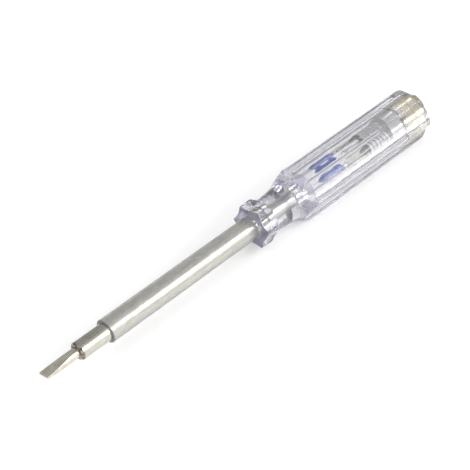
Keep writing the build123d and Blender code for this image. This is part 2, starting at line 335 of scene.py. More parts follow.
def ring_at(x, radius, sides):
    """A round ring of points, or the one point on the axis."""
    if radius < on_axis:
        return [(x, 0.0, 0.0)]
    turns = [2 * math.pi * side / sides for side in range(sides)]
    return [(x, radius * math.cos(turn), radius * math.sin(turn)) for turn in turns]


def turned(name, outline, sides=120, closed=True, shift=0.0):
    """A piece turned round the tool's axis from an outline of (x, radius) points."""
    return skin_over(name, [ring_at(x, radius, sides) for x, radius in outline], closed, shift)


nickel_plate = new_finish("nickel_plate", (0.62, 0.6, 0.54), 0.2, Metallic=1.0)
turning_rings = grain(nickel_plate, 0.035, (1, 0.004, 0.004), detail=4)
wide_rings = grain(nickel_plate, 0.5, (1, 0.02, 0.02), detail=2, offset=2.3)
plate_cloud = grain(nickel_plate, 1.3, (0.5, 1, 1), detail=5, offset=5.9)
rub_marks = grain(nickel_plate, 0.25, (0.12, 1, 1), detail=6, offset=9.2)
plate_streak_noise = grain(nickel_plate, 0.7, (0.012, 1, 1), detail=5, offset=1.3)
tint(
    nickel_plate,
    plate_cloud,
    (0.3, (0.66, 0.64, 0.575)),
    (0.55, (0.6, 0.58, 0.515)),
    (0.75, (0.52, 0.5, 0.43)),
)
# The mouth is painted dark, as painted reflection of a dark surround in front of it.
mouth_painted_reflection = along_tool(nickel_plate, barrel_x + mouth_reflection_to, barrel_x + mouth_reflection_from)
tint(nickel_plate, plate_cloud, (0.3, (0.11, 0.09, 0.09)), (0.7, (0.24, 0.2, 0.19)), share=mouth_painted_reflection)
# Long darker streaks along the plate are painted reflection.
plate_reflection_streaks = between(nickel_plate, plate_streak_noise, 0, 1, 0.42, 0.68)
tint(nickel_plate, plate_cloud, (0.3, (0.56, 0.545, 0.48)), (0.7, (0.45, 0.435, 0.37)), share=plate_reflection_streaks)
paint(
    nickel_plate,
    "Roughness",
    combined(
        nickel_plate,
        "ADD",
        between(nickel_plate, turning_rings, 0.13, 0.25),
        between(nickel_plate, rub_marks, 0.0, 0.1, 0.45, 0.75),
    ),
)
relief(nickel_plate, (wide_rings, 0.003), (turning_rings, 0.0004))
barrel_outline = eased(
    [
        (barrel_x, rod_radius + press_gap),
        (barrel_x, barrel_radius - barrel_chamfer),
        (barrel_x + barrel_chamfer, barrel_radius),
        (seat_x, barrel_radius),
        (seat_x, rod_radius + press_gap),
    ],
    ease=0.06,
)
plated_barrel = turned("plated_barrel", barrel_outline)
fit_piece(plated_barrel, nickel_plate, "handle_body", "shank")

# Insulating sleeve: a clear plastic tube shrunk over the barrel, which leaves its front end bare.
# It is drawn tubing, so it has faint lines along its length, and its cut end is rounded and matt.
# The cut end is also painted dark grey lilac, as painted shade.

sleeve_x = 20.0
sleeve_radius = 3.25
sleeve_chamfer = 0.2
sleeve_squeeze = 0.1
squeeze_run = 0.6
cut_depth = 0.15
cut_fade = 0.2
collar_x = 72.0

clear_tubing = new_finish("clear_tubing", (0.93, 0.93, 0.92), 0.05, Transmission_Weight=0.82, IOR=1.49)
draw_lines = grain(clear_tubing, 0.35, (0.01, 1, 1), detail=3, offset=1.4)
slow_swell = grain(clear_tubing, 3.0, (0.35, 1, 1), detail=1, offset=4.4)
scuffs = grain(clear_tubing, 0.3, (0.5, 1, 1), detail=6, offset=8.8)
# The cut end is matt, lets less light through and is painted dark grey lilac, as painted shade.
matt_and_shaded_cut_end = along_tool(clear_tubing, sleeve_x + cut_depth + cut_fade, sleeve_x + cut_depth)
tint(clear_tubing, slow_swell, (0.3, (0.935, 0.935, 0.925)), (0.7, (0.92, 0.92, 0.91)))
tint(clear_tubing, scuffs, (0.35, (0.46, 0.44, 0.49)), (0.65, (0.32, 0.3, 0.34)), share=matt_and_shaded_cut_end)
paint(clear_tubing, "Transmission Weight", between(clear_tubing, matt_and_shaded_cut_end, 0.82, 0.45, 0.0, 1.0))
paint(
    clear_tubing,
    "Roughness",
    combined(
        clear_tubing,
        "ADD",
        between(clear_tubing, scuffs, 0.03, 0.13, 0.5, 0.75),
        combined(clear_tubing, "MULTIPLY", matt_and_shaded_cut_end, 0.5),
    ),
)
relief(clear_tubing, (slow_swell, 0.05), (draw_lines, 0.01))
sleeve_outline = eased(
    [
        (sleeve_x, barrel_radius - press_gap),
        (sleeve_x, sleeve_radius - sleeve_chamfer),
        (sleeve_x + sleeve_chamfer, sleeve_radius),
        (collar_x - squeeze_run, sleeve_radius),
        (collar_x, sleeve_radius - sleeve_squeeze),
        (seat_x, sleeve_radius - sleeve_squeeze),
        (seat_x, barrel_radius - press_gap),
    ],
    ease=0.12,
)
shrunk_sleeve = turned("shrunk_sleeve", sleeve_outline)
fit_piece(shrunk_sleeve, clear_tubing, "handle_body", "insulating_sleeve")

# Handle: one clear moulding round the barrel, rod and ferrule. Hexagonal guard collar, waist,
# shoulder and grip, with six hollow flutes that run through the shoulder and out of the butt. A
# chamber for the resistor, lamp and spring is left open to the butt, where the end cap closes it.

collar_rear_x = 75.8
neck_x = 77.3
shoulder_x = 84.9
crest_x = 89.8
butt_x = 138.6
ferrule_x = 87.4
chamber_cone_x = 91.8
thread_x = 129.6
plug_x = 134.6
ferrule_radius = 2.3
knurl_depth = 0.15
moulded_on = 0.02
collar_radius = 6.35
waist_radii = (4.95, 4.98, 5.12, 5.33, 5.6)
crest_radius = 7.65
butt_round = 1.2
handle_sides = 384
seam_softness = 0.045
lip_ease = 0.22
mouth_radius = 3.32
mouth_depth = 0.15
seat_bore = 3.17
ferrule_proud = 0.1
chamber_radius = 4.6
screw_bore = 5.05
plug_bore = 5.25

# The radius and width of the land between two flutes, and how deep the flutes are.
collar_hollow = (collar_radius, 0.5, 0.47)
grip_hollow = (crest_radius, 1.6, 0.55)

# Where each stretch of rings ends, and how many it has: more where the outside bends.
ring_stretches = (
    (collar_rear_x - 0.5, 8),
    (neck_x + 0.3, 24),
    (shoulder_x - 0.5, 18),
    (crest_x + 0.5, 60),
    (butt_x - butt_round - 0.2, 14),
    (butt_x - lip_ease, 14),
)

# How far out the rings on the two flat ends lie, from the bore to the edge.
front_shares = (0.0, 0.3, 0.65, 0.9)
rear_shares = (0.85, 0.5, 0.2)


def flute_radius(angle, land_radius, land_width, hollow):
    """How far the hollow flank lies from the axis at that angle; endlessly far over the lands."""
    half_flute = math.pi / 6 - math.asin(land_width / 2 / land_radius)
    edge_height = land_radius * math.cos(half_flute)
    half_chord = land_radius * math.sin(half_flute)
    cutter = (hollow**2 + half_chord**2) / (2 * hollow)
    centre = edge_height - hollow + cutter
    off_centre = (angle % (math.pi / 3)) - math.pi / 6
    under = cutter**2 - (centre * math.sin(off_centre)) ** 2
    if under <= 0:
        return math.inf
    return centre * math.cos(off_centre) - math.sqrt(under)


def softer_of(first, second, softness):
    """The smaller of two radii, with the seam between them rounded over."""
    gap = abs(first - second) / softness
    return min(first, second) - softness * math.log1p(math.exp(-gap))


def along(points, x):
    """The radius of an outline at x."""
    for (x0, r0), (x1, r1) in zip(points, points[1:]):
        if x0 <= x <= x1:
            return r0 if x1 == x0 else r0 + (r1 - r0) * (x - x0) / (x1 - x0)
    return points[-1][1]


def spaced(start, end, count):
    """Places spread evenly after start and up to end."""
    return [start + (end - start) * (step + 1) / count for step in range(count)]


def handle_rings():
    """Rings over the outside from the collar's mouth to the butt, and back through the bore."""
    waist_step = (shoulder_x - neck_x) / (len(waist_radii) - 1)
    waist = [(neck_x + waist_step * step, radius) for step, radius in enumerate(waist_radii)]
    outline = eased(
        [
            (collar_x, collar_radius),
            (collar_rear_x, collar_radius),
            *waist,
            (crest_x, crest_radius),
            (butt_x - butt_round, crest_radius),
        ],
        ease=0.5,
        steps=5,
        closed=False,
    )
    outline += [
        (butt_x - butt_round * (1 - math.sin(turn)), crest_radius - butt_round * (1 - math.cos(turn)))
        for turn in spaced(0, math.pi / 2, 10)
    ]
    turns = [2 * math.pi * side / handle_sides for side in range(handle_sides)]
    flanks = {form: [flute_radius(turn, *form) for turn in turns] for form in (collar_hollow, grip_hollow)}

    def outside(x, inset, share, bore):
        flank = flanks[collar_hollow if x < neck_x else grip_hollow]
        limit = along(outline, x)
        ring = []
        for turn, hollow in zip(turns, flank):
            radius = bore + (softer_of(limit, hollow, seam_softness) - inset - bore) * share
            ring.append((x, radius * math.cos(turn), radius * math.sin(turn)))
        return ring

    lip = [
        (lip_ease * (1 - math.cos(turn)), lip_ease * (1 - math.sin(turn)))
        for turn in [0.0, *spaced(0, math.pi / 2, 4)]
    ]
    rings = [outside(collar_x, lip_ease, share, mouth_radius) for share in front_shares]
    rings += [outside(collar_x + run, inset, 1, mouth_radius) for run, inset in lip]
    start = collar_x + lip_ease
    for end, count in ring_stretches:
        rings += [outside(x, 0.0, 1, 0.0) for x in spaced(start, end, count)]
        start = end
    rings += [outside(butt_x - run, inset, 1, plug_bore) for run, inset in reversed(lip[:-1])]
    rings += [outside(butt_x, lip_ease, share, plug_bore) for share in rear_shares]
    bore = eased(
        [
            (butt_x, plug_bore),
            (plug_x, plug_bore),
            (plug_x, screw_bore),
            (thread_x, screw_bore),
            (thread_x, chamber_radius),
            (chamber_cone_x, chamber_radius),
            (rod_tail_x - ferrule_proud, ferrule_radius - knurl_depth - moulded_on),
            (ferrule_x + moulded_on, ferrule_radius - knurl_depth - moulded_on),
            (ferrule_x + moulded_on, rod_radius - moulded_on),
            (seat_x, rod_radius - moulded_on),
            (seat_x, seat_bore),
            (collar_x + mouth_depth, seat_bore),
        ],
        ease=0.04,
        steps=2,
        closed=False,
    )
    rings += [ring_at(x, radius, handle_sides) for x, radius in bore]
    return rings


clear_moulding = new_finish(
    "clear_moulding", (0.975, 0.972, 0.99), 0.03, Transmission_Weight=0.97, IOR=1.49
)
flow_lines = grain(clear_moulding, 1.4, (0.12, 1, 1), detail=2, offset=0.7)
sink_marks = grain(clear_moulding, 4.5, (0.5, 1, 1), detail=1, offset=6.3)
handling = grain(clear_moulding, 0.35, (0.4, 1, 1), detail=6, offset=2.9)
fine_texture = grain(clear_moulding, 0.22, (0.5, 1, 1), detail=2, offset=8.4)
moulding_nodes, moulding_links = clear_moulding.node_tree.nodes, clear_moulding.node_tree.links

# The faces that look to the blade are slightly matt, and painted a darker lilac as painted shade.
own_side = moulding_nodes.new("ShaderNodeTexCoord")
side_parts = moulding_nodes.new("ShaderNodeSeparateXYZ")
moulding_links.new(own_side.outputs["Normal"], side_parts.inputs["Vector"])
matt_and_shaded_faces = between(clear_moulding, side_parts.outputs["X"], 0, 1, -0.1, -0.5)
tint(clear_moulding, handling, (0.3, (0.975, 0.972, 0.99)), (0.7, (0.965, 0.962, 0.98)))
tint(clear_moulding, handling, (0.3, (0.84, 0.82, 0.96)), (0.7, (0.73, 0.71, 0.87)), share=matt_and_shaded_faces)
paint(
    clear_moulding,
    "Roughness",
    combined(
        clear_moulding,
        "ADD",
        between(clear_moulding, handling, 0.015, 0.08, 0.4, 0.75),
        combined(clear_moulding, "MULTIPLY", matt_and_shaded_faces, 0.3),
    ),
)
relief(clear_moulding, (sink_marks, 0.06), (flow_lines, 0.02), (fine_texture, 0.004))

# The plastic itself is faintly lilac, which shows where it is thick.
depth_tint = moulding_nodes.new("ShaderNodeVolumeAbsorption")
depth_tint.inputs["Color"].default_value = (0.6, 0.595, 0.65, 1)
depth_tint.inputs["Density"].default_value = 64
moulding_links.new(depth_tint.outputs["Volume"], moulding_nodes["Material Output"].inputs["Volume"])
clear_handle = skin_over("clear_handle", handle_rings(), closed=True)
fit_piece(clear_handle, clear_moulding, "handle_body", "handle")

# Ferrule: a short plated ring pressed on the rod's tail. Straight knurling round it bites into
# the moulding, so the blade can't turn or pull out of the handle.

knurls = 16
knurl_steps = 10
notch_half_width = 0.2
knurled_skin = 0.2


def knurled_ring(x, outer):
    """A ring with a notch at every knurl, or a plain one where it lies in the bore."""
    points = []
    for side in range(knurls * knurl_steps):
        phase = (side % knurl_steps) / knurl_steps
        notch = max(0.0, 1 - min(phase, 1 - phase) / notch_half_width)
        radius = outer - knurl_depth * notch if outer > ferrule_radius - knurled_skin else outer
        turn = 2 * math.pi * side / (knurls * knurl_steps)
        points.append((x, radius * math.cos(turn), radius * math.sin(turn)))
    return points


bright_plate = new_finish("bright_plate", (0.66, 0.65, 0.6), 0.18, Metallic=1.0)
plate_wear = grain(bright_plate, 0.3, detail=5, offset=1.1)
plate_rings = grain(bright_plate, 0.04, (1, 0.03, 0.03), detail=3, offset=5.2)
tint(
    bright_plate,
    plate_wear,
    (0.3, (0.88, 0.875, 0.85)),
    (0.6, (0.8, 0.79, 0.75)),
    (0.8, (0.68, 0.66, 0.6)),
)
paint(bright_plate, "Roughness", between(bright_plate, plate_wear, 0.14, 0.34))
relief(bright_plate, (plate_rings, 0.0015))
ferrule_rings = [
    knurled_ring(x, radius)
    for x, radius in eased(
        [
            (ferrule_x, rod_radius + press_gap),
            (ferrule_x, ferrule_radius),
            (rod_tail_x, ferrule_radius),
            (rod_tail_x, rod_radius + press_gap),
        ],
        ease=0.04,
        steps=3,
    )
]
knurled_collet = skin_over("knurled_collet", ferrule_rings, closed=True)
fit_piece(knurled_collet, bright_plate, "handle_body", "knurled_ferrule")

# Series resistor: a ceramic rod with a metal film, a pressed cap on each end and a tinned wire
# soldered to each cap. It is dipped in blue lacquer, which gathers thick over the two caps.

coat_x = 98.0
coat_rear_x = 105.7
coat_cover = 0.25
cap_length = 1.6
cap_radius = 1.7
cap_wall = 0.2
core_radius = 1.49
coat_radius = 2.0
coat_waist_radius = 1.8
coat_slope = 0.6
lead_radius = 0.3
lamp_x = 106.4
resistor_shift = 0.4

blue_lacquer = new_finish(
    "blue_lacquer", (0.02, 0.06, 0.42), 0.16, IOR=1.7, Coat_Weight=1.0, Coat_Roughness=0.14, Coat_IOR=1.8
)
lacquer_depth = grain(blue_lacquer, 0.9, detail=3, offset=0.4)
orange_peel = grain(blue_lacquer, 0.28, detail=2, offset=3.3)
tint(
    blue_lacquer,
    lacquer_depth,
    (0.3, (0.03, 0.075, 0.48)),
    (0.55, (0.06, 0.15, 0.66)),
    (0.75, (0.13, 0.27, 0.82)),
)
paint(blue_lacquer, "Roughness", between(blue_lacquer, orange_peel, 0.3, 0.42))
relief(blue_lacquer, (orange_peel, 0.006))
front_rim_x = coat_x + coat_cover + cap_length
rear_rim_x = coat_rear_x - coat_cover - cap_length
coat_outside = eased(
    [
        (coat_x, lead_radius + press_gap),
        (coat_x, coat_radius - coat_slope),
        (coat_x + coat_slope, coat_radius),
        (front_rim_x, coat_radius),
        (front_rim_x + coat_slope, coat_waist_radius),
        (rear_rim_x - coat_slope, coat_waist_radius),
        (rear_rim_x, coat_radius),
        (coat_rear_x - coat_slope, coat_radius),
        (coat_rear_x, coat_radius - coat_slope),
        (coat_rear_x, lead_radius + press_gap),
    ],
    ease=0.55,
    steps=6,
    closed=False,
)
coat_inside = [
    (coat_rear_x - coat_cover, lead_radius + press_gap),
    (coat_rear_x - coat_cover, cap_radius + press_gap),
    (rear_rim_x, cap_radius + press_gap),
    (rear_rim_x, core_radius + press_gap),
    (front_rim_x, core_radius + press_gap),
    (front_rim_x, cap_radius + press_gap),
    (coat_x + coat_cover, cap_radius + press_gap),
    (coat_x + coat_cover, lead_radius + press_gap),
]
lacquer_coat = turned("lacquer_coat", coat_outside + coat_inside, sides=72, shift=resistor_shift)
fit_piece(lacquer_coat, blue_lacquer, "handle_body", "resistor_coat")

fired_ceramic = new_finish("fired_ceramic", (0.78, 0.74, 0.66), 0.7)
ceramic_grain = grain(fired_ceramic, 0.12, detail=4, offset=2.2)
tint(fired_ceramic, ceramic_grain, (0.3, (0.82, 0.79, 0.72)), (0.7, (0.7, 0.66, 0.57)))
relief(fired_ceramic, (ceramic_grain, 0.006))
core_floor = coat_cover + cap_wall
ceramic_rod = turned(
    "ceramic_rod",
    [
        (coat_x + core_floor, 0.0),
        (coat_x + core_floor, core_radius),
        (coat_rear_x - core_floor, core_radius),
        (coat_rear_x - core_floor, 0.0),
    ],
    sides=64,
    closed=False,
    shift=resistor_shift,
)
fit_piece(ceramic_rod, fired_ceramic, "handle_body", "resistor_core")

drawn_nickel = new_finish("drawn_nickel", (0.8, 0.8, 0.78), 0.3, Metallic=0.6)
draw_marks = grain(drawn_nickel, 0.1, (0.08, 1, 1), detail=4, offset=1.9)
dull_spots = grain(drawn_nickel, 0.6, detail=5, offset=7.1)
tint(
    drawn_nickel,
    dull_spots,
    (0.3, (0.9, 0.9, 0.88)),
    (0.65, (0.84, 0.835, 0.81)),
    (0.8, (0.74, 0.73, 0.69)),
)
paint(drawn_nickel, "Roughness", between(drawn_nickel, dull_spots, 0.36, 0.55))
relief(drawn_nickel, (draw_marks, 0.003))


def drawn_cup(name, finish, node, floor_x, direction, radius, wall, floor, length, shift):
    """A cup drawn from sheet, open towards the middle of its part."""
    outline = eased(
        [
            (floor_x, 0.0),
            (floor_x, radius),
            (floor_x + direction * length, radius),
            (floor_x + direction * length, radius - wall),
            (floor_x + direction * floor, radius - wall),
            (floor_x + direction * floor, 0.0),
        ],
        ease=wall * 0.45,
        steps=3,
        closed=False,
    )
    cup = turned(name, outline, sides=96, closed=False, shift=shift)
    fit_piece(cup, finish, "handle_body", node)


cap_form = {
    "radius": cap_radius,
    "wall": cap_wall,
    "floor": cap_wall,
    "length": cap_length,
    "shift": resistor_shift,
}
drawn_cup(
    "front_resistor_cup", drawn_nickel, "resistor_front_cap", coat_x + coat_cover, 1, **cap_form
)
drawn_cup(
    "rear_resistor_cup", drawn_nickel, "resistor_rear_cap", coat_rear_x - coat_cover, -1, **cap_form
)

tinned_copper = new_finish("tinned_copper", (0.6, 0.6, 0.58), 0.36, Metallic=1.0)
tin_ripple = grain(tinned_copper, 0.25, (0.4, 1, 1), detail=4, offset=4.7)
tint(tinned_copper, tin_ripple, (0.3, (0.66, 0.66, 0.65)), (0.7, (0.5, 0.5, 0.48)))
paint(tinned_copper, "Roughness", between(tinned_copper, tin_ripple, 0.28, 0.46))
relief(tinned_copper, (tin_ripple, 0.01))


def wire_rings(outline, offset):
    """Thin rings along an outline, moved to the side by offset."""
    return [[(x, y + offset, z) for x, y, z in ring_at(x, radius, sides=32)] for x, radius in outline]


def cut_wire(name, start_x, end_x, radius, offset, shift):
    """A straight cut wire with slightly rounded ends, offset to the side."""
    outline = [(start_x, 0.0), (start_x, radius), (end_x, radius), (end_x, 0.0)]
    rings = wire_rings(eased(outline, ease=0.05, steps=2, closed=False), offset)
    return skin_over(name, rings, shift=shift)


for name, node, start_x, end_x in (
    ("front_lead_wire", "resistor_front_lead", rod_tail_x, coat_x + coat_cover),
    ("rear_lead_wire", "resistor_rear_lead", coat_rear_x - coat_cover, lamp_x),
):
    lead_wire = cut_wire(name, start_x, end_x, lead_radius, 0, resistor_shift)
    fit_piece(lead_wire, tinned_copper, "handle_body", node)

# Neon lamp: a drawn glass tube with its ends melted shut round two straight electrodes that stand
# side by side in the gas. A contact cap, dipped in tin, is cemented over each end of the glass.

lamp_rear_x = 116.9
lamp_shift = -0.6
front_cap_radius = 1.5
front_cap_length = 1.3
rear_cap_radius = 3.4
rear_cap_length = 1.0
lamp_cap_floor = 0.4
cement = 0.03
neck_radius = 1.28
glass_radius = 3.18
glass_wall = 0.4
glass_rear_wall = 0.6
glass_front_x = lamp_x + lamp_cap_floor
glass_rear_x = lamp_rear_x - lamp_cap_floor
glass_neck_x = 108.0
glass_body_x = 109.1
hollow_lag = 0.2
seal_reach = 1.0
electrode_radius = 0.35
electrode_offset = 0.7
electrode_length = 6.0

lamp_tube = new_finish("lamp_tube", (0.965, 0.98, 0.92), 0.01, Transmission_Weight=1.0, IOR=1.5)
glass_draw = grain(lamp_tube, 0.8, (0.1, 1, 1), detail=2, offset=3.6)
glass_film = grain(lamp_tube, 0.5, detail=4, offset=1.2)
paint(lamp_tube, "Roughness", between(lamp_tube, glass_film, 0.004, 0.05))
relief(lamp_tube, (glass_draw, 0.012))
glass_outside = eased(
    [
        (glass_front_x, 0.0),
        (glass_front_x, neck_radius),
        (glass_neck_x, neck_radius),
        (glass_body_x, glass_radius),
        (glass_rear_x, glass_radius),
        (glass_rear_x, 0.0),
    ],
    ease=0.4,
    steps=6,
    closed=False,
)
drawn_glass = turned("drawn_glass", glass_outside, sides=96, closed=False, shift=lamp_shift)
glass_inside = eased(
    [
        (glass_neck_x + hollow_lag, 0.0),
        (glass_neck_x + hollow_lag, neck_radius - glass_wall),
        (glass_body_x + hollow_lag, glass_radius - glass_wall),
        (glass_rear_x - glass_rear_wall, glass_radius - glass_wall),
        (glass_rear_x - glass_rear_wall, 0.0),
    ],
    ease=0.5,
    steps=6,
    closed=False,
)
gas_space = turned("gas_space", glass_inside, sides=96, closed=False, shift=lamp_shift)


def hollowed(piece, *inner):
    """Cuts other shapes out of a piece, and keeps its smooth skin."""
    for shape in inner:
        cut = piece.modifiers.new("hollow", "BOOLEAN")
        cut.operation = "DIFFERENCE"
        cut.solver = "EXACT"
        cut.object = shape
    bpy.context.view_layer.update()
    whole = piece.evaluated_get(bpy.context.evaluated_depsgraph_get())
    mesh = bpy.data.meshes.new_from_object(whole)
    piece.modifiers.clear()
    piece.data = mesh
    for shape in inner:
        bpy.data.objects.remove(shape)
    mesh.shade_smooth()
    mesh.set_sharp_from_angle(angle=sharp_edge)


def seal_hole(name, start_x, end_x, offset):
    """The hole that an electrode leaves in the melted end of the glass."""
    radius = electrode_radius + press_gap
    outline = [(start_x, 0.0), (start_x, radius), (end_x, radius), (end_x, 0.0)]
    return skin_over(name, wire_rings(outline, offset), shift=lamp_shift)


lamp_middle_x = (lamp_x + lamp_rear_x) / 2
front_hole = seal_hole("front_hole", glass_front_x - seal_reach, lamp_middle_x, electrode_offset)
rear_hole = seal_hole("rear_hole", lamp_middle_x, glass_rear_x + seal_reach, -electrode_offset)
hollowed(drawn_glass, gas_space, front_hole, rear_hole)
fit_piece(drawn_glass, lamp_tube, "handle_body", "lamp_glass")

dipped_tin = new_finish("dipped_tin", (0.9, 0.9, 0.88), 0.45, Metallic=0.15)
tin_bloom = grain(dipped_tin, 0.5, detail=4, offset=5.5)
tint(dipped_tin, tin_bloom, (0.3, (0.95, 0.95, 0.93)), (0.7, (0.88, 0.88, 0.85)))
paint(dipped_tin, "Roughness", between(dipped_tin, tin_bloom, 0.35, 0.55))
relief(dipped_tin, (tin_bloom, 0.01))

# The caps reach a hair into the glass, in place of the cement, so that no dark gap shows there.
lamp_cap_form = {"wall": cap_wall + cement, "floor": lamp_cap_floor + cement, "shift": lamp_shift}
drawn_cup(
    "front_lamp_cup",
    dipped_tin,
    "lamp_front_cap",
    lamp_x,
    1,
    radius=front_cap_radius,
    length=front_cap_length,
    **lamp_cap_form,
)
drawn_cup(
    "rear_lamp_cup",
    dipped_tin,
    "lamp_rear_cap",
    lamp_rear_x,
    -1,
    radius=rear_cap_radius,
    length=rear_cap_length,
    **lamp_cap_form,
)

coated_electrode = new_finish("coated_electrode", (0.36, 0.35, 0.33), 0.5, Metallic=0.3)
emissive_dust = grain(coated_electrode, 0.15, detail=5, offset=6.6)
tint(coated_electrode, emissive_dust, (0.3, (0.85, 0.84, 0.8)), (0.7, (0.7, 0.69, 0.65)))
relief(coated_electrode, (emissive_dust, 0.008))
for name, node, start_x, offset in (
    ("front_electrode_wire", "lamp_front_electrode", glass_front_x, electrode_offset),
    ("rear_electrode_wire", "lamp_rear_electrode", glass_rear_x - electrode_length, -electrode_offset),
):
    electrode = cut_wire(name, start_x, start_x + electrode_length, electrode_radius, offset, lamp_shift)
    fit_piece(electrode, coated_electrode, "handle_body", node)

# Contact spring: hard-drawn steel wire with a pale zinc plate, wound in five open turns,
# right-handed. It presses the lamp against the resistor and carries the contact to the cup.

wire_radius = 0.425
spring_radius = 3.5
coil_radius = spring_radius - wire_radius
coils = 5
coil_steps = 56
cut_share = 0.85
spring_gap = 0.05
cup_x = 124.7
spring_x = lamp_rear_x + wire_radius + spring_gap
spring_rear_x = cup_x - wire_radius - spring_gap
coil_rise = (spring_rear_x - spring_x) / coils


def coil_section(turn, share=1.0, sides=20):
    """The wire's round section after a number of turns, square to the wire and shrunk to a share."""
    sine, cosine = math.sin(2 * math.pi * turn), math.cos(2 * math.pi * turn)
    outward = Vector((0, cosine, sine))
    forward = Vector((coil_rise / (2 * math.pi), -coil_radius * sine, coil_radius * cosine)).normalized()
    across = forward.cross(outward)
    middle = Vector((spring_x + coil_rise * turn, 0, 0)) + outward * coil_radius
    points = []
    for side in range(sides):
        around = 2 * math.pi * side / sides
        reach = (outward * math.cos(around) + across * math.sin(around)) * wire_radius * share
        points.append(tuple(middle + reach))
    return points


drawn_wire = new_finish("drawn_wire", (0.72, 0.72, 0.7), 0.2, Metallic=0.15)
wire_lines = grain(drawn_wire, 0.12, detail=5, offset=2.6)
wire_bloom = grain(drawn_wire, 0.9, detail=3, offset=8.1)
tint(drawn_wire, wire_bloom, (0.3, (0.98, 0.98, 0.97)), (0.7, (0.93, 0.93, 0.92)))
paint(drawn_wire, "Roughness", between(drawn_wire, wire_lines, 0.3, 0.5))
relief(drawn_wire, (wire_lines, 0.002))
spring_rings = [
    coil_section(0, 0.0, sides=1),
    coil_section(0, cut_share),
    *(coil_section(step / coil_steps) for step in range(coils * coil_steps + 1)),
    coil_section(coils, cut_share),
    coil_section(coils, 0.0, sides=1),
]
wound_spring = skin_over("wound_spring", spring_rings, shift=lamp_shift)
wound_spring.data.materials.append(drawn_wire)
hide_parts("contact_spring")
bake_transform(wound_spring)

# Spring cup: a drawn and plated cup that slides in the chamber. The spring bears on its floor,
# and the screw's pilot fills it from behind, so it moves with the screw but doesn't turn.

cup_radius = 4.45
cup_wall = 0.25
cup_floor = 0.5
cup_rear_x = 129.49
pilot_x = cup_x + cup_floor
contact_cup = turned(
    "contact_cup",
    eased(
        [
            (cup_x, 0.0),
            (cup_x, cup_radius),
            (cup_rear_x, cup_radius),
            (cup_rear_x, cup_radius - cup_wall),
            (pilot_x, cup_radius - cup_wall),
            (pilot_x, 0.0),
        ],
        ease=0.1,
        steps=3,
        closed=False,
    ),
    sides=96,
    closed=False,
)
fit_piece(contact_cup, drawn_nickel, "cup_body", "spring_cup")

# End cap: turned brass. A screw of 1 mm pitch closes the chamber, with a pilot in the cup and a
# plain plug behind the thread. The finger touches its domed head, which has one slot for a driver.

pilot_radius = 4.1
pilot_corner = 0.4
pilot_gap = 0.02
pilot_face_x = pilot_x + pilot_gap
pilot_end_x = 129.5
thread_radius = 4.98
thread_pitch = 1.0
thread_depth = 0.14
thread_step = 0.04
groove_slope = 2.6
groove_floor = 1.6
front_run_out = 0.5
rear_run_out = 0.4
rear_plain = 0.3
lead_in_depth = 0.5
lead_in_length = 0.9
brass_streaks_fade_from_x = 130.6
brass_streaks_fade_to_x = 134.1
plug_radius = 5.2
plug_chamfer = 0.6
head_radius = 5.8
head_rim = 0.4
head_height = 1.4
dome_sink = 0.05
dome_steps = 14
slot_half_width = 0.5
slot_depth = 0.8
slot_block_length = 4.0
slot_block_width = 14.0


def thread_ring(x, sides=96):
    """A ring of the screw: a ridge that climbs by its pitch in one turn, and runs out at both ends.

    The ridge is flat on top, its groove is flat at the bottom, and a cone leads in at the front.
    """
    front_share = (x - thread_x) / front_run_out
    rear_share = (plug_x - rear_plain - x) / rear_run_out
    run_out = max(0.0, min(1.0, front_share, rear_share))
    lead_in = lead_in_depth * max(0.0, 1 - (x - thread_x) / lead_in_length) ** 2
    points = []
    for side in range(sides):
        turn = 2 * math.pi * side / sides
        phase = (x / thread_pitch - side / sides) % 1.0
        groove = max(0.0, 1 - abs(phase - 0.5) * groove_slope)
        radius = thread_radius - thread_depth * min(groove * groove_floor, 1.0) * run_out - lead_in
        points.append((x, radius * math.cos(turn), radius * math.sin(turn)))
    return points


turned_brass = new_finish("turned_brass", (0.8, 0.68, 0.42), 0.22, Metallic=1.0)
lathe_lines = grain(turned_brass, 0.05, (1, 0.05, 0.05), detail=4, offset=1.7)
brass_bloom = grain(turned_brass, 1.2, detail=5, offset=4.1)
brass_reflection_streaks = grain(turned_brass, 1.3, (0.1, 1, 1), detail=3, offset=2.2)
# Dark brown streaks along the pilot and screw, fading out towards the plug, are painted reflection.
tint(
    turned_brass,
    brass_reflection_streaks,
    (0.4, (0.93, 0.91, 0.85)),
    (0.52, (0.86, 0.82, 0.7)),
    (0.6, (0.36, 0.27, 0.17)),
)
tint(
    turned_brass,
    brass_bloom,
    (0.35, (0.99, 0.94, 0.76)),
    (0.62, (0.95, 0.85, 0.58)),
    (0.85, (0.7, 0.53, 0.3)),
    share=along_tool(turned_brass, brass_streaks_fade_from_x, brass_streaks_fade_to_x),
)
paint(turned_brass, "Roughness", between(turned_brass, brass_bloom, 0.26, 0.42))
relief(turned_brass, (lathe_lines, 0.002))

